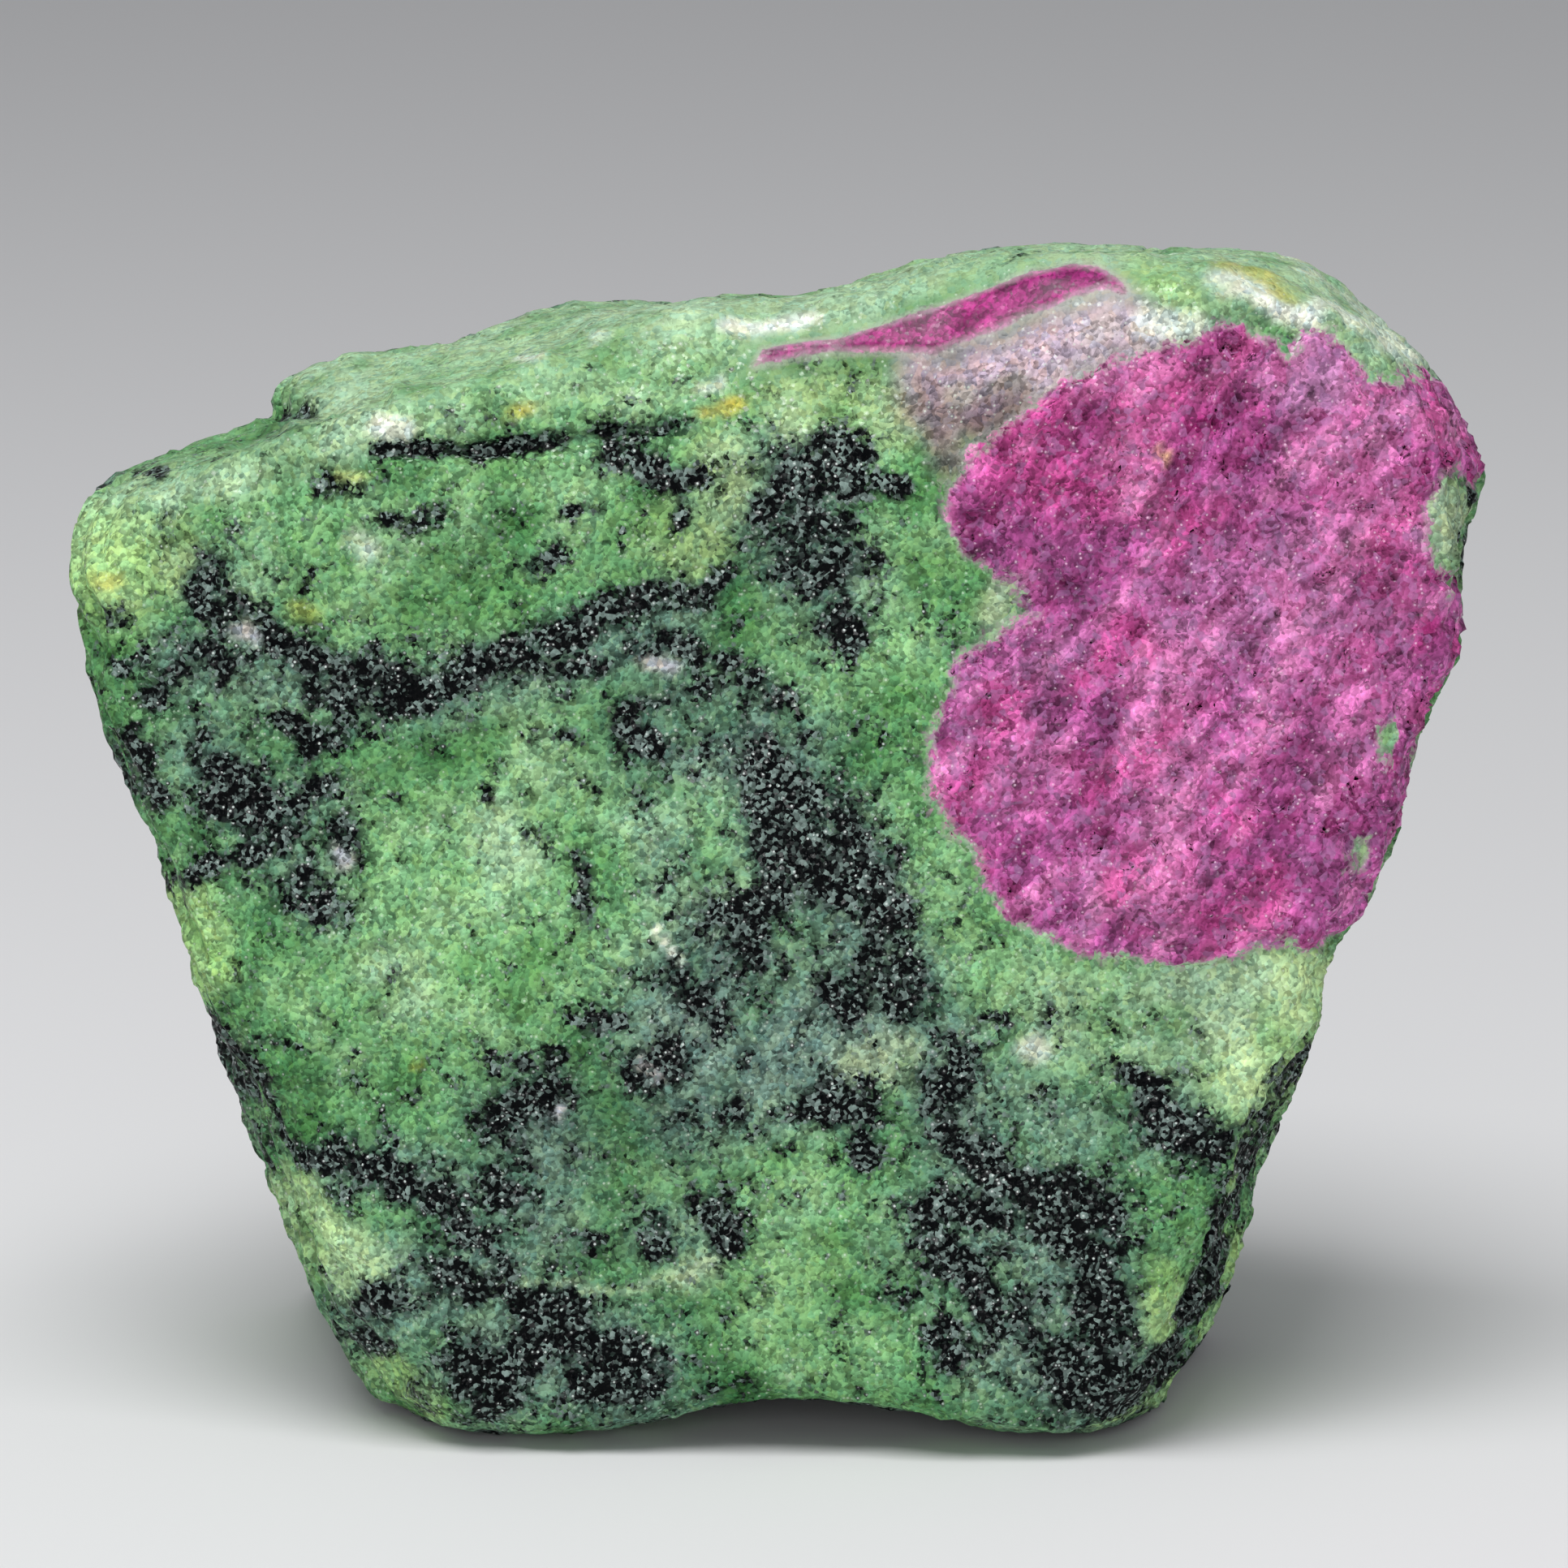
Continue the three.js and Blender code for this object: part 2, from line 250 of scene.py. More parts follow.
    (1.0, 0.22, [(25.0, -10.8), (24.1, -13.0), (23.1, -14.6), (21.9, -16.6)]),
    (1.0, 0.26, [(25.8, -11.0), (25.2, -13.0), (24.4, -15.0), (23.4, -17.3), (22.8, -18.6), (22.2, -20.0)]),
    (0.9, 0.22, [(26.6, -7.5), (26.7, -9.5), (26.2, -11.5)]),
    (1.0, 0.45, [(21.9, -18.0), (21.7, -19.5), (21.8, -21.0), (21.0, -22.8), (20.3, -24.3), (19.8, -25.6)]),
    (0.8, 0.50, [(34.6, 17.2), (34.5, 15.6), (34.3, 14.2)]),
    (0.6, 0.30, [(30.6, 20.6), (31.6, 18.4), (32.8, 17.0)]),
]

# Dark blue-green clouds, full of small black grains: (strength, radius, path).
HAZES = [
    (0.8, 2.6, [(0.0, 17.0), (1.0, 14.0), (2.6, 11.0)]),
    (0.6, 1.6, [(-28.6, 12.4), (-26.6, 12.6)]),
    (0.6, 1.8, [(-30.0, 8.0), (-24.0, 7.4), (-18.0, 6.6), (-10.0, 8.6), (-5.0, 10.0)]),
    (0.6, 2.4, [(-29.0, 3.6), (-27.0, 1.4), (-24.0, 0.0), (-23.0, -3.0)]),
    (0.75, 3.2, [(-6.0, 4.4), (-1.0, 4.0), (1.0, -1.0), (4.0, -4.0), (3.0, -8.0)]),
    (0.85, 3.6, [(-3.0, -7.0), (-5.0, -9.6), (-3.6, -13.0), (0.6, -11.6), (4.0, -9.0)]),
    (0.7, 2.4, [(6.0, -7.0), (8.0, -11.0), (9.0, -15.0), (10.0, -18.0)]),
    (0.55, 2.0, [(11.0, -13.6), (15.0, -15.6), (19.0, -15.0)]),
    (0.75, 3.4, [(9.0, -21.0), (13.0, -19.6), (15.0, -24.0), (12.0, -26.0), (16.0, -28.0)]),
    (0.7, 2.8, [(-13.0, -14.6), (-12.0, -17.0), (-13.0, -20.0), (-16.0, -22.6), (-19.6, -24.0)]),
    (0.8, 3.0, [(-15.0, -27.0), (-11.0, -26.0), (-7.4, -27.6)]),
    (0.6, 1.6, [(-21.6, -16.6), (-18.0, -17.6), (-15.6, -18.6)]),
    (0.5, 1.8, [(-6.6, -20.6), (-3.0, -20.4)]),
    (0.5, 1.6, [(-7.0, 2.0), (-6.0, -1.0), (-5.6, -3.0)]),
]

# Places with hardly any black grains: (strength, radius, path).
CLEAR = [
    (0.60, 2.6, [(8.0, 21.0), (12.0, 22.8), (17.0, 25.0)]),
    (0.25, 2.0, [(-25.0, 21.4), (-18.0, 22.8), (-8.0, 24.6), (2.0, 25.0), (8.0, 26.6)]),
    (0.40, 1.8, [(18.0, 28.0), (26.0, 27.0), (31.0, 23.4)]),
]

# Painted glints: silvery flashes off crystal faces within the black patches, painted as colour: (radius,
# path).
PAINTED_GLINTS = [
    (0.42, [(-27.0, 9.5), (-26.4, 9.1)]),
    (0.38, [(-6.8, 8.2), (-5.8, 7.8)]),
    (0.34, [(-22.3, -1.3), (-22.0, -1.8)]),
    (0.36, [(-6.8, -12.2), (-6.4, -12.6)]),
    (0.30, [(-11.0, -14.2), (-11.4, -14.4)]),
]

# Tints of the rock, painted in this order, one of them partly a painted highlight along the top rim:
# (colour, strength, radius, path).
TINTS = [
    (LIGHT_GREEN, 0.8, 4.6, [(-18.0, -3.6), (-15.0, -6.6), (-17.0, -8.0)]),
    (LIGHT_GREEN, 0.7, 2.6, [(-13.0, 2.0), (-14.0, -1.6)]),
    (PALE_GREEN, 0.7, 1.5, [(-14.4, -0.6), (-13.4, -1.8)]),
    (PALE_GREEN, 0.6, 1.3, [(-19.8, -7.4), (-18.8, -8.4)]),
    (PALE_GREEN, 0.4, 1.4, [(-12.4, 2.8), (-11.0, 3.0)]),
    (LIGHT_GREEN, 0.6, 3.2, [(-26.0, 14.0), (-22.0, 12.6), (-17.0, 11.6)]),
    (LIGHT_GREEN, 0.7, 1.6, [(-16.0, 17.4), (-12.0, 17.4), (-9.6, 16.4)]),
    (LIGHT_GREEN, 0.6, 1.8, [(5.4, 13.6), (6.0, 9.6), (4.8, 7.6)]),
    (LIGHT_GREEN, 0.5, 1.8, [(0.2, 9.6), (2.0, 7.6)]),
    (LIGHT_GREEN, 0.7, 1.5, [(7.4, -2.6), (8.8, -5.0), (10.6, -8.0), (13.0, -7.4), (16.6, -8.2)]),
    (LIGHT_GREEN, 0.65, 2.2, [(0.0, -19.0), (0.6, -22.6), (-0.6, -25.0), (3.6, -26.4)]),
    (LIME, 0.2, 1.3, [(-1.0, -23.6), (2.0, -22.4)]),
    (PALE_GREEN, 0.9, 1.9, [(-24.0, 22.6), (-21.6, 21.4), (-15.6, 23.2), (-10.0, 25.2), (-5.0, 25.4)]),
    (PALE_GREEN, 0.9, 1.8, [(-5.0, 25.4), (0.0, 25.8), (5.0, 26.4),
                            (8.6, 28.2), (12.6, 29.0), (17.0, 28.6)]),
    (LIGHT_GREEN, 0.7, 1.8, [(-18.0, 21.2), (-12.0, 22.2), (-6.0, 22.4), (-2.0, 23.6)]),
    (PALE_GREEN, 0.35, 1.6, [(-18.0, 20.6), (-12.0, 21.4), (-6.0, 22.2), (-2.0, 23.4)]),
    (WHITE, 0.6, 0.30, [(-13.0, 23.3), (-12.2, 23.2)]),
    (WHITE, 0.5, 0.25, [(-9.6, 24.4), (-9.0, 24.5)]),
    (MID_GREEN, 0.4, 0.9, [(6.0, 25.6), (9.4, 27.0), (12.0, 28.2)]),
    (PALE_GREEN, 0.7, 1.2, [(-31.6, 16.6), (-27.6, 17.4), (-24.0, 18.6), (-20.6, 19.8)]),
    (PALE_GREEN, 0.6, 1.4, [(-33.0, 15.4), (-31.0, 15.6)]),
    (LIME, 0.9, 1.8, [(-33.6, 13.8), (-33.2, 11.6)]),
    (OLIVE, 0.5, 0.9, [(-30.0, 14.2), (-30.6, 12.4)]),
    (OLIVE, 0.5, 1.5, [(-6.0, 14.6), (-4.4, 13.8)]),
    (OLIVE, 0.5, 1.4, [(-3.4, 18.6), (-2.8, 17.0)]),
    (OLIVE, 0.5, 1.6, [(0.6, 20.8), (3.4, 21.2), (5.4, 20.4)]),
    (LIME, 0.9, 1.1, [(-29.4, -3.9), (-28.4, -7.4)]),
    (BRIGHT_LIME, 0.6, 1.1, [(-24.2, -18.4), (-22.8, -20.6), (-21.0, -22.2)]),
    (LIME, 0.7, 0.6, [(-20.0, -27.0), (-19.0, -28.2), (-17.4, -29.4)]),
    (BRIGHT_LIME, 1.0, 1.9, [(25.4, -8.0), (24.0, -10.4), (23.2, -12.4)]),
    (PALE_GREEN, 0.7, 1.8, [(20.6, -8.4), (23.4, -8.6)]),
    (LIME, 0.9, 0.8, [(19.0, -22.6), (18.8, -25.0)]),
    (LIGHT_GREEN, 0.7, 0.7, [(20.6, -20.6), (20.0, -22.0)]),
    (LIME, 0.8, 0.35, [(25.5, -11.4), (24.6, -14.0), (23.2, -16.6), (22.3, -18.4)]),
    (LIME, 0.8, 0.35, [(22.8, -20.6), (22.0, -23.0), (21.0, -25.6),
                       (20.2, -27.4), (18.4, -29.2), (16.0, -30.2)]),
    (PALE_GREEN, 0.6, 2.4, [(14.0, -9.6), (18.0, -10.6), (21.0, -10.0)]),
    (CREAM, 0.75, 1.1, [(3.4, -12.2), (5.6, -11.8)]),
    (CREAM, 0.9, 0.8, [(10.6, 10.6), (11.0, 11.8)]),
    (CREAM, 0.6, 0.6, [(29.2, -0.8), (29.2, -3.0)]),
    (CREAM, 0.6, 0.6, [(31.3, 4.2), (31.2, 2.8)]),
    (CREAM, 0.5, 0.25, [(-13.0, -23.3), (-7.2, -23.2), (-4.4, -22.6), (-3.3, -21.9)]),
    (CREAM, 0.6, 0.8, [(-4.6, -22.5), (-3.8, -22.2)]),
    (CREAM, 0.6, 1.0, [(33.6, 15.4), (33.8, 13.4), (34.0, 11.8)]),
    (PALE_GREEN, 0.6, 1.6, [(18.6, 26.6), (22.0, 27.4), (26.0, 26.4), (29.4, 24.2)]),
    (LIME, 0.6, 0.7, [(17.6, 27.6), (20.0, 26.4)]),
    (PALE_GREEN, 0.8, 1.0, [(21.0, 29.2), (25.0, 28.6), (28.8, 26.2), (32.6, 23.0)]),
    (WHITE, 0.6, 0.40, [(25.0, 25.4), (27.4, 25.8), (30.0, 24.0), (31.6, 23.2)]),
    # White veins along the top rim, partly a painted highlight of the rim where it catches the light.
    (WHITE, 0.6, 0.45, [(18.6, 29.0), (22.0, 29.4), (24.6, 28.9),
                        (27.4, 27.4), (30.2, 25.0), (33.0, 22.4)]),
    (CREAM, 0.7, 0.8, [(33.0, 16.6), (33.2, 14.4)]),
    (WHITE, 0.85, 0.40, [(-3.0, 25.0), (-1.0, 24.9), (1.2, 25.2)]),
    (WHITE, 0.8, 0.40, [(-20.4, 19.9), (-18.6, 19.6)]),
    (WHITE, 0.6, 0.65, [(-21.4, 13.9), (-20.8, 13.6)]),
    (WHITE, 0.7, 0.55, [(12.2, -11.1), (12.8, -11.0)]),
    (WHITE, 0.9, 0.50, [(21.6, 27.0), (23.6, 26.6), (25.2, 25.4), (26.4, 25.2)]),
    (WHITE, 0.7, 0.30, [(-4.2, 22.0), (-3.2, 22.3)]),
    (WHITE, 0.8, 0.20, [(-6.2, -5.4), (-5.9, -6.2), (-5.2, -6.8)]),
    (LAVENDER, 1.0, 1.6, [(13.6, 24.2), (16.4, 25.2)]),
    (LAVENDER, 1.0, 1.5, [(7.4, 22.8), (11.0, 23.0), (13.0, 23.4)]),
    (LAVENDER, 0.8, 1.1, [(12.0, 21.8), (15.0, 23.4), (18.4, 24.4)]),
    (MAUVE, 0.8, 1.3, [(6.8, 20.8), (10.6, 20.6)]),
    (MAUVE, 0.8, 0.9, [(10.0, 20.0), (11.6, 21.0)]),
    (MAUVE, 0.7, 0.9, [(8.0, 19.2), (8.4, 18.0)]),
    (WHITE, 0.7, 0.6, [(18.2, 25.0), (20.6, 24.8), (21.2, 23.8)]),
    (OCHRE, 1.0, 0.45, [(-2.7, 21.0), (-2.2, 21.1)]),
    (OCHRE, 0.6, 0.30, [(-4.4, 20.5), (-3.6, 20.7)]),
    (OCHRE, 0.8, 0.35, [(-13.4, 20.6), (-12.7, 20.9)]),
    (OCHRE, 0.5, 0.30, [(-22.4, 17.2), (-21.0, 17.4)]),
    (OCHRE, 0.6, 0.35, [(-33.8, 12.0), (-33.4, 12.0)]),
    (OCHRE, 0.5, 0.50, [(-24.2, 10.6), (-23.6, 10.4)]),
    (OCHRE, 0.6, 0.30, [(21.8, 27.7), (24.0, 27.2), (25.6, 26.2)]),
    (OCHRE, 0.6, 0.22, [(-18.4, -12.2), (-18.1, -12.3)]),
]

# Tones within the big ruby: (colour, strength, radius, path).
RUBY_TONES = [
    (CRIMSON, 0.75, 2.6, [(11.6, 18.6), (14.6, 20.4), (17.4, 20.6), (19.0, 22.0)]),
    (CRIMSON, 0.7, 1.6, [(13.6, 16.6), (17.0, 17.0), (18.8, 16.0)]),
    (PINK, 0.6, 1.4, [(16.6, 22.4), (18.8, 22.8)]),
    (PINK, 0.5, 1.2, [(17.0, 18.8), (18.0, 16.4)]),
    (PLUM, 0.5, 0.9, [(15.2, 20.6), (15.6, 18.2)]),
    (PLUM, 0.6, 1.1, [(9.6, 15.6), (9.6, 14.0), (11.6, 15.4)]),
    (PLUM, 0.7, 1.1, [(23.0, 22.6), (22.2, 20.8)]),
    (PLUM, 0.75, 0.8, [(26.8, 20.5), (24.8, 19.8), (23.0, 18.2)]),
    (PLUM, 0.9, 0.6, [(19.6, 17.4), (20.2, 18.0)]),
    (LILAC, 0.7, 1.1, [(25.6, 21.6), (27.6, 21.6)]),
    (LILAC, 0.6, 1.0, [(30.8, 15.8), (31.6, 14.6)]),
    (LILAC, 0.5, 1.4, [(26.8, 23.6), (28.0, 22.4)]),
    (PINK, 0.6, 1.2, [(26.0, 18.4), (29.4, 18.8)]),
    (PINK, 0.6, 0.9, [(30.8, 20.8), (33.6, 19.6)]),
    (MAGENTA, 0.7, 1.0, [(30.2, 13.2), (32.0, 12.4)]),
    (PLUM, 0.5, 0.9, [(31.6, 11.8), (28.8, 10.6), (26.6, 10.8)]),
    (PLUM, 0.45, 0.8, [(29.4, 14.2), (26.6, 14.4), (24.2, 14.0)]),
    (MAGENTA, 0.95, 0.7, [(31.8, 9.2), (32.2, 9.6)]),
    (MAGENTA, 0.9, 0.55, [(20.4, 19.6), (21.4, 19.9)]),
    (LILAC, 0.45, 3.0, [(20.6, 10.6), (23.0, 9.4), (24.0, 12.0)]),
    (PINK, 0.35, 2.6, [(28.6, 15.6), (29.0, 10.0), (27.6, 4.0)]),
    (PINK, 0.5, 1.9, [(18.8, 7.4), (18.8, 3.0), (19.0, -3.8)]),
    (PLUM, 0.65, 0.45, [(16.1, 8.2), (16.3, 4.6), (16.1, 0.4), (16.3, -4.6)]),
    (PINK, 0.4, 1.2, [(10.8, 2.0), (12.6, 3.6)]),
    (LILAC, 0.4, 1.6, [(10.0, 5.6), (14.4, 8.0)]),
    (PLUM, 0.5, 0.8, [(12.4, 6.6), (13.4, 6.4)]),
    (PLUM, 0.55, 0.7, [(16.3, 5.8), (16.2, 4.2)]),
    (PLUM, 0.55, 0.9, [(15.4, -0.4), (16.4, -1.4)]),
    (LILAC, 0.5, 0.8, [(15.8, -2.2), (15.8, -3.4)]),
    (PLUM, 0.6, 1.0, [(25.4, 4.4), (26.8, 3.6), (26.0, 5.8)]),
    (PLUM, 0.55, 1.0, [(22.4, -1.2), (24.4, -1.8), (24.0, 0.6)]),
    (PLUM, 0.5, 0.8, [(11.4, -1.0), (11.8, -2.4)]),
    (PLUM, 0.4, 1.0, [(12.6, 11.4), (15.0, 12.6), (13.0, 14.2)]),
    (PLUM, 0.4, 0.8, [(9.6, 7.2), (9.2, 3.6)]),
    (CRIMSON, 0.8, 0.8, [(17.7, 9.6), (17.9, 8.8)]),
    (CRIMSON, 0.6, 0.7, [(21.8, 0.6), (22.8, 0.0)]),
    (CRIMSON, 0.4, 1.5, [(21.0, -4.4), (24.0, -3.6)]),
    (PLUM, 0.5, 0.7, [(17.0, -5.6), (20.0, -4.9)]),
    (OCHRE, 0.6, 0.3, [(18.7, 18.5), (19.0, 18.2)]),
]


def whole_random(cells, seed):
    """A random number in [0, 1) for each row of whole numbers, the same in every run."""
    mixed = cells.astype(np.int64) @ np.array([374761393, 668265263, 362437])
    mixed = mixed + seed * 97531
    mixed = (mixed ^ (mixed >> 13)) * 1274126177
    mixed = mixed ^ (mixed >> 16)
    return (mixed & 0xFFFFFF) / float(0x1000000)


def noise(points, seed):
    """Smooth random heights from -1 to 1, one lump per unit of length."""
    low = np.floor(points)
    share = points - low
    share = share * share * (3 - 2 * share)
    total = np.zeros(len(points))
    for corner in np.ndindex(2, 2, 2):
        step = np.array(corner)
        weight = np.prod(np.where(step, share, 1 - share), axis=1)
        total += weight * whole_random(low + step, seed)
    return 2 * total - 1


TURN = np.array([[0.80, 0.36, -0.48], [-0.60, 0.48, -0.64], [0.0, 0.80, 0.60]])  # a rotation


def fractal(points, size, octaves, seed):
    """Layered noise: each octave is half as wide and half as high as the one before."""
    total = np.zeros(len(points))
    for octave in range(octaves):
        points = points @ TURN.T
        total += noise(points * 2**octave / size, seed + octave) / 2**octave
    return total


def facets(points, size, seed):
    """Each point's height on its nearest grain's tilted face, and the gap to the next grain."""
    scaled = points / size
    low = np.floor(scaled)
    nearest = np.full(len(points), 9.0)
    second = np.full(len(points), 9.0)
    height = np.zeros(len(points))
    for offset in np.ndindex(3, 3, 3):
        cell = low + np.array(offset) - 1
        jitter = np.stack([whole_random(cell, seed + k) for k in range(3)], axis=1)
        away = scaled - cell - jitter
        distance = np.linalg.norm(away, axis=1)
        tilt = np.stack([whole_random(cell, seed + 3 + k) for k in range(3)], axis=1) * 2 - 1
        closer = distance < nearest
        second = np.where(closer, nearest, np.minimum(second, distance))
        nearest = np.where(closer, distance, nearest)
        height = np.where(closer, np.einsum("ij,ij->i", away, tilt), height)
    return height, second - nearest


def dishes(points, size, seed):
    """Shallow broken hollows that meet in worn ridges: heights from about -1 up to 0."""
    scaled = points / size
    low = np.floor(scaled)
    height = np.full(len(points), 9.0)
    for offset in np.ndindex(3, 3, 3):
        cell = low + np.array(offset) - 1
        middle = cell + np.stack([whole_random(cell, seed + k) for k in range(3)], axis=1)
        tilt = np.stack([whole_random(cell, seed + 3 + k) for k in range(3)], axis=1) * 2 - 1
        away = scaled - middle
        height = np.minimum(height, np.einsum("ij,ij->i", away, away + 0.9 * tilt))
    return np.minimum(2 * height - 0.2, 0)


def smooth_step(low, high, value):
    share = np.clip((value - low) / (high - low), 0, 1)
    return share * share * (3 - 2 * share)


def path_distance(places, path):
    """How far each place is from a path of straight stretches, in mm."""
    best = np.full(len(places), 1e9)
    for start, end in zip(path, path[1:]):
        start, along = np.array(start), np.array(end) - np.array(start)
        share = np.clip((places - start) @ along / (along @ along), 0, 1)
        gap = np.linalg.norm(places - start - share[:, None] * along, axis=1)
        best = np.minimum(best, gap)
    return best


def stroke(places, radius, path):
    """1 along a path, half at its radius, 0 well outside."""
    return 1 - smooth_step(0.2 * radius, 1.8 * radius, path_distance(places, path))


def cloud_stroke(places, radius, path):
    """Like a stroke, with a long thin tail."""
    return 1 / (1 + (path_distance(places, path) / radius) ** 3)


def depth_inside(places, outline):
    """How far each place is inside a closed outline, in mm: negative outside."""
    distance = path_distance(places, outline + outline[:1])
    inside = np.zeros(len(places), bool)
    x, y = places[:, 0], places[:, 1]
    for (x0, y0), (x1, y1) in zip(outline, outline[1:] + outline[:1]):
        if y0 == y1:
            continue
        crosses = (y0 > y) != (y1 > y)
        inside ^= crosses & (x < x0 + (y - y0) * (x1 - x0) / (y1 - y0))
    return np.where(inside, distance, -distance)


def paint(colours, colour, amount):
    """Mixes one colour into many, by each one's amount."""
    return colours + (np.array(colour) - colours) * amount[:, None]


def layer_places(points):
    """[across, up] of each point in the stone's layers."""
    x, y, z = points[:, 0], points[:, 1], points[:, 2] - CORE_HEIGHT
    back = y * math.cos(LEAN) - z * math.sin(LEAN)
    up = y * math.sin(LEAN) + z * math.cos(LEAN)
    return np.stack([x, up], axis=1) / (1 + SPREAD * back)[:, None]


def fine_mesh(node):
    """A copy of the solid's surface with small, even faces, its broad facets softened."""
    work = bmesh.new()
    work.from_mesh(node.data)
    bmesh.ops.remove_doubles(work, verts=work.verts, dist=0.001 * MM)
    mesh = bpy.data.meshes.new("stone_surface")
    work.to_mesh(mesh)
    work.free()
    carrier = bpy.data.objects.new("carrier", mesh)
    bpy.context.scene.collection.objects.link(carrier)
    remesh = carrier.modifiers.new("even", "REMESH")
    remesh.mode = "VOXEL"
    remesh.voxel_size = VOXEL * MM
    relax = carrier.modifiers.new("relax", "SMOOTH")
    relax.factor = 0.5
    relax.iterations = 5
    bpy.context.view_layer.update()
    result = bpy.data.meshes.new_from_object(carrier.evaluated_get(bpy.context.evaluated_depsgraph_get()))
    bpy.data.objects.remove(carrier)
    return result


def vertex_arrays(mesh):
    count = len(mesh.vertices)
    points = np.empty(count * 3)
    mesh.vertices.foreach_get("co", points)
    normals = np.empty(count * 3)
    mesh.vertices.foreach_get("normal", normals)
    return points.reshape(-1, 3) / MM, normals.reshape(-1, 3)


def terraces(points, spacing):
    """The worn edges of the rock's layers, as low steps: a height from 0 to 1."""
    tilt = np.array([0.45, -0.80, 0.40])
    level = (points @ tilt + 1.0 * fractal(points, 9.0, 3, 210)) / spacing
    share = level - np.floor(level)
    return smooth_step(0.0, 0.75, share) - smooth_step(0.88, 1.0, share)


def rock_relief(points, normals):
    """Chips and grains of the broken rock, and its layers' edges on the left and right sides."""
    chips, _ = facets(points + 0.6 * fractal(points, 2.5, 2, 21)[:, None], 3.4, 26)
    grains, _ = facets(points, 1.3, 31)
    on_side = smooth_step(0.5, 0.85, np.abs(normals[:, 0]))
    height = 0.20 * chips + 0.13 * grains + 0.10 * fractal(points, 1.2, 2, 41)
    return height + 0.40 * on_side * terraces(points, 1.6)


def ruby_relief(points, places):
    """The big ruby's chunks, the gaps between them, and the plate that stands out beside its parting."""
    chunks, gap = facets(points + 0.5 * fractal(points, 2.0, 2, 51)[:, None], 2.3, 61)
    grains, _ = facets(points, 1.0, 81)
    plate = smooth_step(16.7, 17.1, places[:, 0]) * stroke(places, 5.5, [(21.0, 6.0), (21.0, -2.0)])
    height = 0.45 * chunks - 0.20 * (1 - smooth_step(0.0, 0.12, gap))
    height += 0.28 * grains + 0.12 * fractal(points, 0.9, 2, 71)
    return height + 0.15 + 0.55 * plate


def hidden_relief(points):
    """The broad hollows of the sides that were broken off roughly."""
    bent = points + 0.8 * fractal(points, 4.0, 3, 221)[:, None]
    return 0.4 + 2.8 * dishes(bent, 9.0, 231) + 1.0 * dishes(bent, 4.0, 241)


def grooves(places, ruby):
    """The seam round the ruby, and the ledge and crevice near the top edge."""
    seam = np.exp(-((ruby / 0.35) ** 2))
    ledge = stroke(places, 0.45, [(-20.0, 18.7), (-15.5, 18.6), (-11.0, 19.0), (-6.0, 19.9)])
    crevice = stroke(places, 0.40, [(-25.6, 20.4), (-23.0, 20.9), (-20.0, 21.4)])
    return 0.15 * seam + 0.65 * ledge + 0.7 * crevice


def surface_height(points, normals, ruby, strip):
    """How far the broken surface stands out from the smooth one, in mm."""
    places = layer_places(points)
    hidden = smooth_step(0.05, 0.45, -normals @ TOWARD_FRONT)
    hidden = np.maximum(hidden, 0.4 * smooth_step(0.6, 0.85, np.abs(normals[:, 0])))
    rock = rock_relief(points, normals)
    height = 0.30 * fractal(points, 6.0, 4, 11) + rock
    height += smooth_step(-0.25, 0.25, ruby) * (ruby_relief(points, places) - rock)
    height += hidden * hidden_relief(points)
    striped = 0.03 * np.sin(places @ np.array([2.6, -6.2]) * 2.0)
    height += smooth_step(-0.2, 0.2, strip) * (striped + 0.25 - height)
    return height - grooves(places, ruby)


def add_values(mesh, name, values):
    mesh.attributes.new(name, "FLOAT", "POINT").data.foreach_set("value", values.astype(np.float32))


def add_colours(mesh, name, colours):
    full = np.concatenate([np.clip(colours, 0, 1), np.ones((len(colours), 1))], axis=1)
    attribute = mesh.attributes.new(name, "FLOAT_COLOR", "POINT")
    attribute.data.foreach_set("color", full.astype(np.float32).ravel())


def mottled(colours, points, size, seed):
    """Deeper, richer spots and milky spots in a colour."""
    lightness = fractal(points, size, 4, seed)
    deep = colours * np.array([0.42, 0.62, 0.40])
    milky = 0.65 * colours + 0.35 * np.array([0.55, 0.74, 0.50])
    colours = colours + (deep - colours) * (0.65 * smooth_step(0.0, 0.9, -lightness))[:, None]
    return colours + (milky - colours) * (0.4 * smooth_step(0.1, 0.9, lightness))[:, None]


def rock_colours(points, places, front, haze):
    """The zoisite's colour at each point, without the black patches."""
    lightness = 0.5 + 0.42 * fractal(points, 5.0, 3, 301)
    colours = np.tile(np.array(DEEP_GREEN), (len(points), 1))
    colours = paint(colours, MID_GREEN, smooth_step(0.0, 0.5, lightness))
    colours = paint(colours, LIGHT_GREEN, smooth_step(0.55, 1.0, lightness))
    hidden = 1 - front
    colours = paint(colours, LIME, 0.7 * hidden * smooth_step(0.35, 0.8, fractal(points, 6.0, 3, 331)))
    colours = paint(colours, PALE_GREEN, 0.7 * hidden * smooth_step(0.3, 0.8, fractal(points, 5.0, 3, 341)))
    colours = paint(colours, HAZE, haze)
    for colour, strength, radius, path in TINTS:
        colours = paint(colours, colour, strength * front * stroke(places, radius, path))
    colours = mottled(colours, points, 2.0, 351)
    flakes, gap = facets(points, 1.1, 361)
    return colours * (1 + 0.30 * np.clip(flakes, -0.6, 0.6) * smooth_step(0.0, 0.1, gap))[:, None]


def drawn_out(points):
    """The points pressed together along the ruby's streaks, so that noise is drawn out that way."""
    along = np.array([math.sin(STREAK_TURN), 0.0, math.cos(STREAK_TURN)])
    return points - 0.6 * (points @ along)[:, None] * along


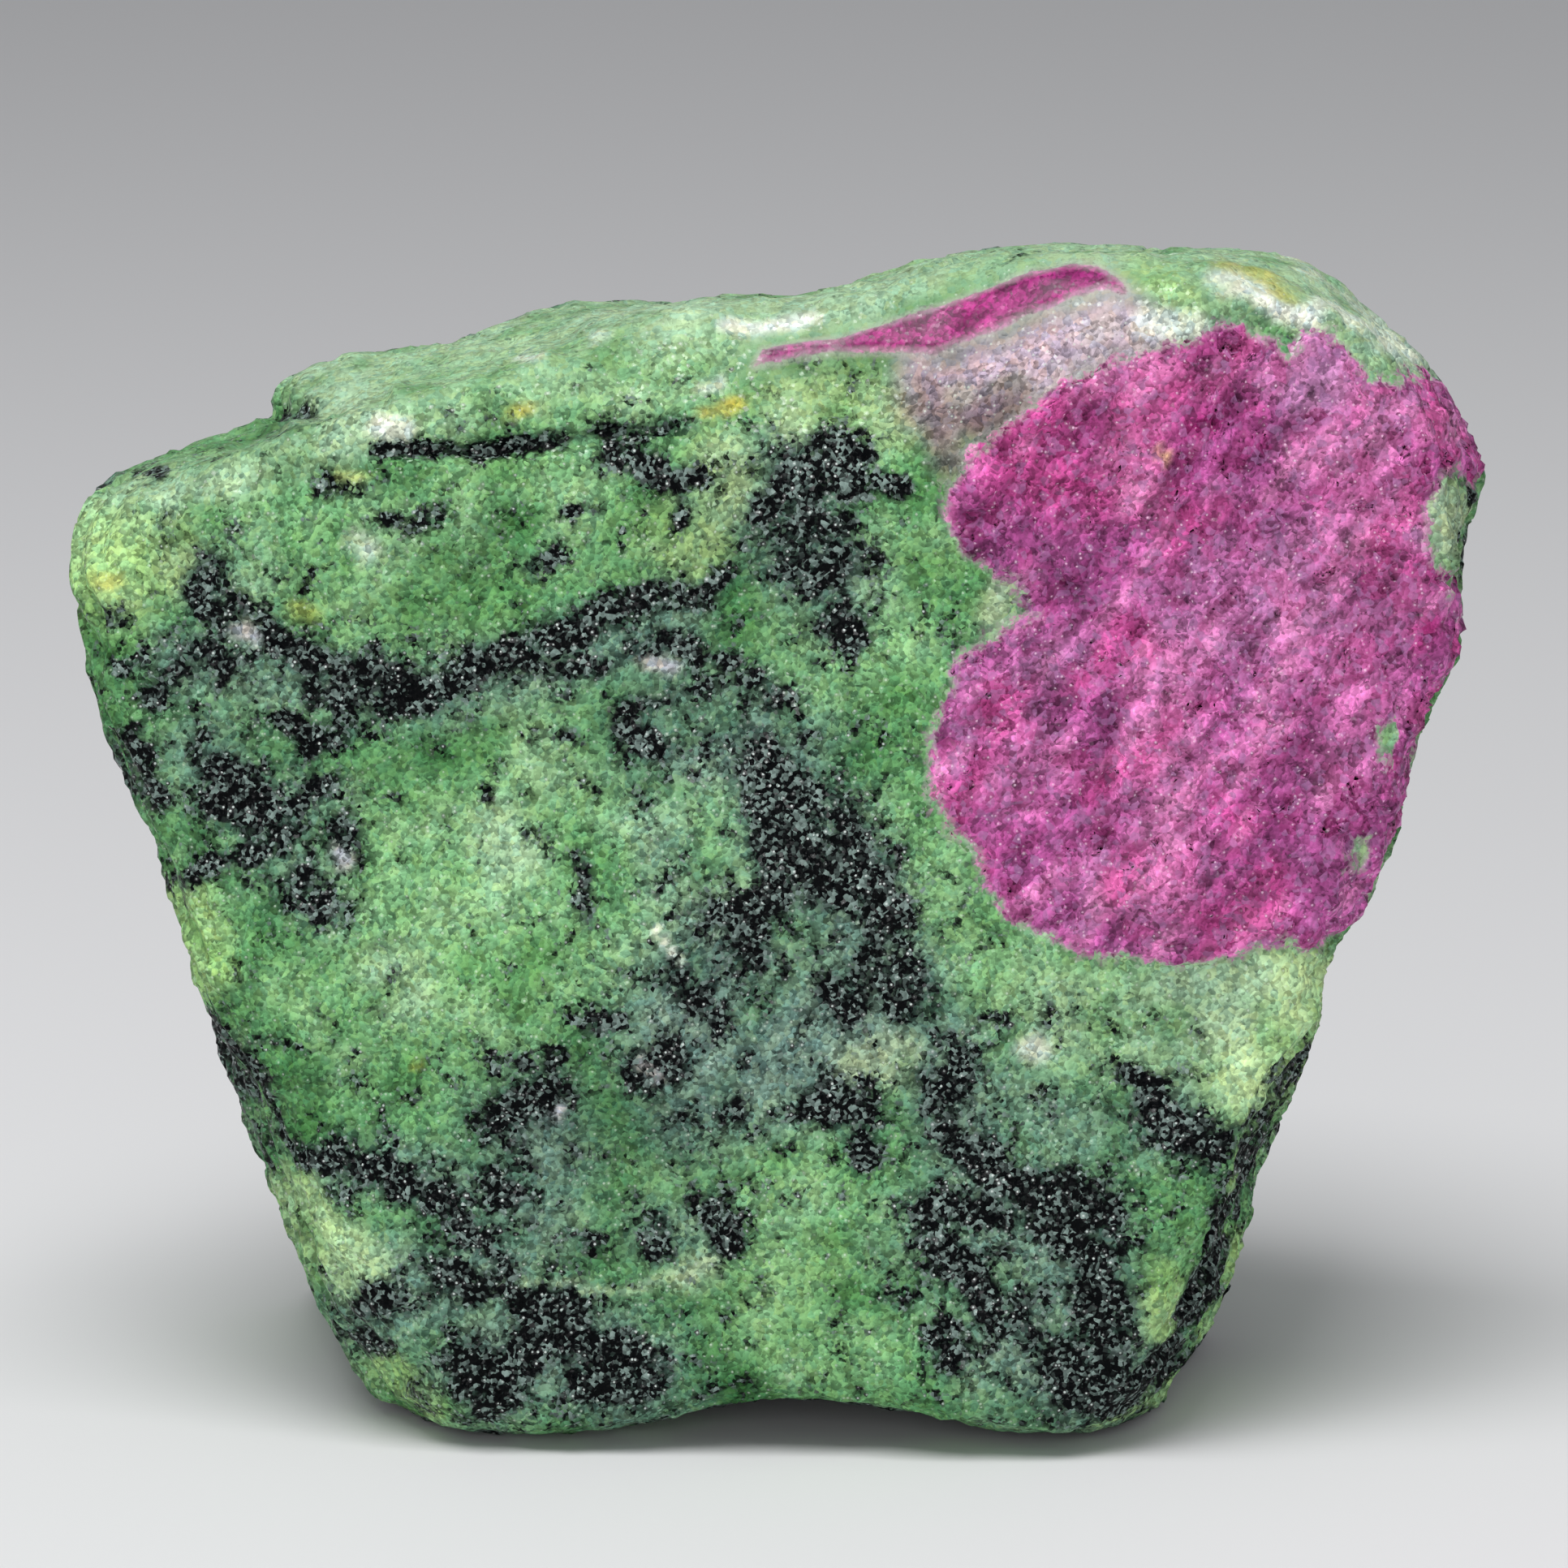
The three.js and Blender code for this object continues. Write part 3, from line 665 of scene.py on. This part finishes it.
def ruby_colours(points, places):
    """The ruby's colour at each point."""
    colours = np.tile(np.array(RUBY), (len(points), 1))
    for colour, strength, radius, path in RUBY_TONES:
        colours = paint(colours, colour, strength * stroke(places, radius, path))
    lightness = fractal(drawn_out(points), 1.1, 4, 401)
    colours = paint(colours, PINK, 0.60 * smooth_step(0.0, 0.9, lightness))
    colours = paint(colours, PLUM, 0.60 * smooth_step(0.1, 0.9, -lightness))
    return paint(colours, CRIMSON, 0.6 * smooth_step(0.2, 0.8, fractal(drawn_out(points), 2.0, 3, 411)))


def strongest(places, strokes, shape):
    """At each place, the strongest of many strokes: each one is (strength, radius, path)."""
    amount = np.zeros(len(places))
    for strength, radius, path in strokes:
        amount = np.maximum(amount, strength * shape(places, radius, path))
    return amount


def ruby_depth(points, normals, places, ragged):
    """How far each point is inside the big ruby, in mm: negative outside."""
    depth = RUBY_DEPTH_Y - points[:, 1] + 2.5 * fractal(points, 6.0, 3, 161)
    from_front = np.minimum(depth_inside(places, RUBY_OUTLINE), depth)
    from_side = depth_inside(points[:, 1:] + 0.8 * ragged, RUBY_SIDE_OUTLINE)
    return from_front + smooth_step(0.55, 0.85, normals[:, 0]) * (from_side - from_front)


def strip_depth(points):
    """How far each point is inside the second ruby's face, in mm: negative outside."""
    return np.minimum(depth_inside(layer_places(points), STRIP_OUTLINE), STRIP_DEPTH_Y - points[:, 1])


def rock_and_black(points, normals, places):
    """The rock's colour at each point, and how thickly the black grains lie there."""
    front = smooth_step(-0.02, 0.10, normals @ TOWARD_FRONT)
    bands = fractal(points * np.array([0.7, 0.8, 1.3]), 8.0, 4, 171)
    haze_behind = 0.8 * smooth_step(-0.15, 0.35, bands + 0.3 * fractal(points, 3.0, 3, 321))
    haze = front * strongest(places, HAZES, stroke) + (1 - front) * haze_behind
    dark_behind = smooth_step(0.08, 0.45, bands) * (1 - 0.8 * smooth_step(0.25, 0.65, normals[:, 2]))
    dark = front * strongest(places, DARK, cloud_stroke) + (1 - front) * dark_behind
    rock = rock_colours(points, places, front, haze)
    paleness = smooth_step(0.25, 0.60, rock @ np.array([0.3, 0.6, 0.1]))
    dark = dark + 0.25 * haze - 0.42 * paleness
    for strength, radius, path in CLEAR:
        dark = dark - strength * front * stroke(places, radius, path)
    rock = paint(rock, SHADE, 0.75 * smooth_step(0.1, 0.9, dark))
    # Painted highlight: silver glints painted into the black patches, with fewer black grains under them.
    for radius, path in PAINTED_GLINTS:
        painted_glint = front * stroke(places, radius, path)
        rock = paint(rock, PAINTED_GLINT_SILVER, painted_glint)
        dark = dark - 0.9 * painted_glint
    return rock, dark


def make_stone():
    mesh = fine_mesh(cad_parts["stone"])
    points, normals = vertex_arrays(mesh)
    ragged = np.stack([fractal(points, 1.6, 4, seed) for seed in (101, 151)], axis=1)
    places = layer_places(points) + 0.32 * ragged
    ruby = ruby_depth(points, normals, places, ragged)
    strip = strip_depth(points)

    rock, dark = rock_and_black(points, normals, places)
    crystal = paint(ruby_colours(points, places), CERISE, 0.9 * smooth_step(-0.1, 0.2, strip))
    calm_top = 0.6 * smooth_step(0.55, 0.85, normals[:, 2])
    add_colours(mesh, "rock", rock)
    add_colours(mesh, "crystal", crystal)
    add_values(mesh, "dark", dark)
    add_values(mesh, "ruby", np.clip(np.maximum(ruby, strip), -3, 3))
    add_values(mesh, "polish", smooth_step(-0.1, 0.25, strip))
    add_values(mesh, "calm", np.maximum(calm_top, smooth_step(-1.5, -0.5, strip)))

    moved = points + normals * surface_height(points, normals, ruby, strip)[:, None]
    moved[:, 2] = np.maximum(moved[:, 2], 0)
    mesh.vertices.foreach_set("co", (moved * MM).ravel())
    mesh.update()
    mesh.shade_smooth()
    stone = bpy.data.objects.new("ruby_in_zoisite", mesh)
    bpy.context.scene.collection.objects.link(stone)
    return stone


class Nodes:
    """Short ways to add and join a material's nodes."""

    def __init__(self, material):
        material.use_nodes = True
        self.tree = material.node_tree
        self.shader = self.tree.nodes["Principled BSDF"]

    def add(self, kind, **settings):
        node = self.tree.nodes.new(kind)
        for name, value in settings.items():
            setattr(node, name, value)
        return node

    def feed(self, socket, value):
        if isinstance(value, bpy.types.NodeSocket):
            self.tree.links.new(value, socket)
        else:
            socket.default_value = value

    def attribute(self, name, output):
        return self.add("ShaderNodeAttribute", attribute_name=name).outputs[output]

    def maths(self, operation, *values):
        node = self.add("ShaderNodeMath", operation=operation)
        for socket, value in zip(node.inputs, values):
            self.feed(socket, value)
        return node.outputs[0]

    def vectors(self, operation, *values):
        node = self.add("ShaderNodeVectorMath", operation=operation)
        for socket, value in zip(node.inputs, values):
            self.feed(socket, value)
        return node.outputs[0]

    def scaled(self, vector, factor):
        node = self.add("ShaderNodeVectorMath", operation="SCALE")
        self.feed(node.inputs[0], vector)
        self.feed(node.inputs["Scale"], factor)
        return node.outputs[0]

    def spread(self, value, size):
        """A value from 0 to 1 as one on both sides of 0, and `size` from end to end."""
        return self.maths("MULTIPLY_ADD", value, size, -size / 2)

    def steps(self, value, low, high, start=0.0, end=1.0):
        node = self.add("ShaderNodeMapRange", interpolation_type="SMOOTHSTEP")
        for socket, number in zip(node.inputs, (value, low, high, start, end)):
            self.feed(socket, number)
        return node.outputs[0]

    def mix(self, amount, first, second):
        """Mixes two colours. Each one is a node's output, or red, green and blue."""
        node = self.add("ShaderNodeMix", data_type="RGBA")
        sockets = [socket for socket in node.inputs if socket.type == "RGBA"]
        self.feed(node.inputs[0], amount)
        for socket, colour in zip(sockets, (first, second)):
            self.feed(socket, (*colour, 1) if isinstance(colour, tuple) else colour)
        return node.outputs[2]

    def grains(self, vector, size):
        """Cells of a size in mm: each one's random colour, and the distance from its middle."""
        node = self.add("ShaderNodeTexVoronoi")
        self.feed(node.inputs["Vector"], vector)
        node.inputs["Scale"].default_value = 1 / (size * MM)
        return node.outputs["Color"], node.outputs["Distance"]

    def cloud(self, vector, size, detail):
        node = self.add("ShaderNodeTexNoise")
        self.feed(node.inputs["Vector"], vector)
        node.inputs["Scale"].default_value = 1 / (size * MM)
        node.inputs["Detail"].default_value = detail
        return node.outputs["Fac"]

    def tilted(self, vector, turn, scale):
        """Coordinates turned about the stone's depth, then scaled along each axis."""
        node = self.add("ShaderNodeMapping", vector_type="TEXTURE")
        self.feed(node.inputs["Vector"], vector)
        node.inputs["Rotation"].default_value = (0, turn, 0)
        node.inputs["Scale"].default_value = [1 / part for part in scale]
        return node.outputs[0]

    def channels(self, colour):
        node = self.add("ShaderNodeSeparateColor")
        self.feed(node.inputs[0], colour)
        return node.outputs


class Grains:
    """What every part of the stone's material reads: its grains in three sizes, and the painted amounts."""

    def __init__(self, n):
        self.place = n.add("ShaderNodeTexCoord").outputs["Object"]
        self.flake_colour, _ = n.grains(self.place, 1.0)
        self.big_colour, self.big_distance = n.grains(self.place, 0.36)
        self.small_colour, self.small_distance = n.grains(self.place, 0.19)
        self.flake = n.channels(self.flake_colour)
        self.big = n.channels(self.big_colour)
        self.small = n.channels(self.small_colour)
        self.clumps = n.cloud(self.place, 1.3, 5.0)
        self.light = n.maths("MULTIPLY_ADD", self.small[0], 0.6, n.maths("MULTIPLY", self.big[0], 0.4))
        self.glassy = n.steps(self.small[2], 0.86, 0.96)
        # Painted sparkle: a bright spot painted in the middle of each glassy grain, a painted highlight.
        self.painted_sparkle = n.maths("MULTIPLY", self.glassy, n.steps(self.small_distance, 0.20, 0.42, 1.0, 0.0))
        self.dark = n.attribute("dark", "Fac")
        self.calm = n.attribute("calm", "Fac")
        self.polish = n.attribute("polish", "Fac")
        self.unpolished = n.maths("MULTIPLY_ADD", self.polish, -0.9, 1.0)


def broken_up(n, grains, value, clump_size, big_size, small_size):
    """A value made uneven clump by clump and grain by grain, each by its own range."""
    value = n.maths("ADD", value, n.spread(grains.clumps, clump_size))
    value = n.maths("ADD", value, n.spread(grains.big[1], big_size))
    return n.maths("ADD", value, n.spread(grains.small[1], small_size))


def rock_nodes(n, grains):
    """Green rock, lighter and darker by the grain. It turns dusky and then black where black grains lie."""
    painted = n.attribute("rock", "Color")
    contrast = n.maths("MULTIPLY_ADD", grains.calm, -0.9, 1.0)
    contrast = n.maths("MULTIPLY", contrast, n.steps(grains.dark, -0.1, 0.5, 1.0, 1.5))
    value = n.maths("MULTIPLY_ADD", n.steps(grains.light, 0.1, 0.9, -0.44, 0.44), contrast, 1.0)
    hue = n.mix(grains.big[2], COOL_HUE, WARM_HUE)
    rock = n.vectors("MULTIPLY", n.scaled(painted, value), hue)
    # Painted highlight: pale sparkles painted on glassy green grains.
    rock = n.mix(n.maths("MULTIPLY", grains.painted_sparkle, 0.45), rock, PAINTED_SPARKLE_GREEN)

    black = n.mix(n.steps(grains.light, 0.50, 0.93), BLACK, GREY_GRAIN)
    # Painted highlight: pale sparkles painted on glassy black grains.
    black = n.mix(n.maths("MULTIPLY", grains.painted_sparkle, 0.9), black, PAINTED_SPARKLE_GREY)
    density = broken_up(n, grains, grains.dark, 2.7, 0.36, 0.50)
    rock = n.mix(n.steps(density, 0.0, 0.60, 0.0, 0.68), rock, n.scaled(painted, 0.28))
    return n.mix(n.steps(density, 0.27, 0.74), rock, black)


def crystal_nodes(n, grains):
    """Ruby: its painted tones, streaked, lighter and darker by the grain, with crimson and lilac grains."""
    value = n.maths(
        "MULTIPLY",
        n.steps(grains.light, 0.1, 0.9, 0.50, 1.50),
        n.steps(grains.flake[0], 0.0, 1.0, 0.75, 1.25),
    )
    streaks = n.cloud(n.tilted(grains.place, STREAK_TURN, (1.0, 1.0, 0.22)), 0.9, 3.0)
    value = n.maths("MULTIPLY", value, n.steps(streaks, 0.35, 0.65, 0.72, 1.30))
    crystal = n.scaled(n.attribute("crystal", "Color"), value)
    crimson = n.maths("MULTIPLY", n.steps(grains.flake[1], 0.5, 1.0, 0.0, 0.30), grains.unpolished)
    crystal = n.mix(crimson, crystal, CRIMSON_GRAIN)
    lilac = n.maths("MULTIPLY", n.steps(grains.big[2], 0.6, 1.0, 0.0, 0.45), grains.unpolished)
    crystal = n.mix(lilac, crystal, LILAC_GRAIN)
    # Painted highlight: pink sparkles painted on glassy ruby grains, fewer on the smooth face.
    painted_sparkles = n.maths("MULTIPLY", grains.painted_sparkle, n.maths("MULTIPLY_ADD", grains.polish, -0.55, 0.60))
    return n.mix(painted_sparkles, crystal, PAINTED_SPARKLE_PINK)


def set_gloss(n, grains):
    """Some grains are glassy and most are dull. The second ruby's face is smooth all over."""
    rough = n.steps(grains.big[2], 0.1, 1.0, 0.62, 0.24)
    rough = n.maths("MULTIPLY_ADD", grains.polish, n.maths("SUBTRACT", 0.28, rough), rough)
    n.feed(n.shader.inputs["Roughness"], rough)
    n.shader.inputs["Specular IOR Level"].default_value = 0.06
    face_shine = n.maths("MULTIPLY", grains.polish, 0.3)
    grain_shine = n.maths("MULTIPLY", grains.glassy, 0.8)
    n.feed(n.shader.inputs["Coat Weight"], n.maths("MAXIMUM", face_shine, grain_shine))
    n.shader.inputs["Coat Roughness"].default_value = 0.22


def set_grain_faces(n, grains, is_ruby):
    """Every grain's face is turned its own way, and so are the ruby's flakes."""
    half = (0.5, 0.5, 0.5)
    turn = n.scaled(n.vectors("SUBTRACT", grains.big_colour, half), 0.50)
    turn = n.vectors("ADD", turn, n.scaled(n.vectors("SUBTRACT", grains.small_colour, half), 0.50))
    flake_turn = n.vectors("SUBTRACT", grains.flake_colour, half)
    turn = n.vectors("ADD", turn, n.scaled(flake_turn, n.maths("MULTIPLY", is_ruby, 0.80)))
    normal = n.add("ShaderNodeNewGeometry").outputs["Normal"]
    faced = n.vectors("NORMALIZE", n.vectors("ADD", normal, n.scaled(turn, grains.unpolished)))
    bump = n.add("ShaderNodeBump")
    bump.inputs["Distance"].default_value = 0.06 * MM
    depth = n.maths("ADD", grains.big_distance, n.maths("MULTIPLY", grains.small_distance, 0.5))
    n.feed(bump.inputs["Height"], n.maths("MULTIPLY", depth, -1.0))
    n.feed(bump.inputs["Normal"], faced)
    n.feed(n.shader.inputs["Normal"], bump.outputs["Normal"])


def stone_material():
    material = bpy.data.materials.new("ruby_in_zoisite")
    n = Nodes(material)
    grains = Grains(n)
    uneven = broken_up(n, grains, 0.0, 1.4, 0.40, 0.24)
    rough_edge = n.maths("MULTIPLY_ADD", grains.calm, -0.85, 1.0)
    inside = n.maths("MULTIPLY_ADD", uneven, rough_edge, n.attribute("ruby", "Fac"))
    is_ruby = n.steps(inside, -0.07, 0.07)
    rim = n.maths("SUBTRACT", 1.0, n.steps(n.maths("ABSOLUTE", inside), 0.05, 0.40))
    colour = n.mix(is_ruby, rock_nodes(n, grains), crystal_nodes(n, grains))
    colour = n.mix(n.maths("MULTIPLY", rim, 0.40), colour, RIM)
    n.feed(n.shader.inputs["Base Color"], colour)
    set_gloss(n, grains)
    set_grain_faces(n, grains, is_ruby)
    return material


def plain_material(name, colour, roughness):
    material = bpy.data.materials.new(name)
    material.use_nodes = True
    shader = material.node_tree.nodes["Principled BSDF"]
    shader.inputs["Base Color"].default_value = (*colour, 1)
    shader.inputs["Roughness"].default_value = roughness
    return material


def make_floor():
    mesh = bpy.data.meshes.new("floor")
    half = 3.0
    corners = [(-half, -half, 0), (half, -half, 0), (half, half, 0), (-half, half, 0)]
    mesh.from_pydata(corners, [], [(0, 1, 2, 3)])
    floor = bpy.data.objects.new("floor", mesh)
    bpy.context.scene.collection.objects.link(floor)
    mesh.materials.append(plain_material("floor", (0.78, 0.78, 0.79), 0.8))
    return floor


def add_softbox(name, place, aim, size, watts):
    """A soft square light. Places and sizes are in metres."""
    lamp = bpy.data.lights.new(name, "AREA")
    lamp.shape = "SQUARE"
    lamp.size = size
    lamp.energy = watts
    holder = bpy.data.objects.new(name, lamp)
    holder.location = place
    holder.rotation_euler = (Vector(aim) - Vector(place)).to_track_quat("-Z", "Y").to_euler()
    bpy.context.scene.collection.objects.link(holder)


def add_lights(aim):
    add_softbox("key_softbox", (-0.06, -0.22, 0.55), aim, 0.34, 2.7)
    add_softbox("front_softbox", (-0.04, -0.62, 0.14), aim, 0.30, 0.9)
    world = bpy.data.worlds.new("studio")
    world.use_nodes = True
    world.node_tree.nodes["Background"].inputs["Color"].default_value = (0.80, 0.81, 0.83, 1)
    world.node_tree.nodes["Background"].inputs["Strength"].default_value = 0.38
    bpy.context.scene.world = world


def add_camera():
    """A long lens, a little above the stone, square to its front face."""
    reach = 0.400
    core = Vector((0, 0, CORE_HEIGHT * MM))
    place = core + reach * Vector((0, -math.cos(LEAN), math.sin(LEAN)))
    aim = core + Vector((0.00005, 0.0004, 0.0019))
    camera = bpy.data.cameras.new("camera")
    camera.lens = 183.7
    camera.sensor_width = 36
    camera.clip_start = 0.01
    holder = bpy.data.objects.new("camera", camera)
    holder.location = place
    holder.rotation_euler = (aim - place).to_track_quat("-Z", "Y").to_euler()
    bpy.context.scene.collection.objects.link(holder)
    bpy.context.scene.camera = holder


stone = make_stone()
stone.data.materials.clear()
stone.data.materials.append(stone_material())
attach(stone, "root")
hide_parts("stone")

make_floor()
add_lights((0, 0, 0.03))
add_camera()
bpy.context.scene.view_settings.view_transform = "Standard"
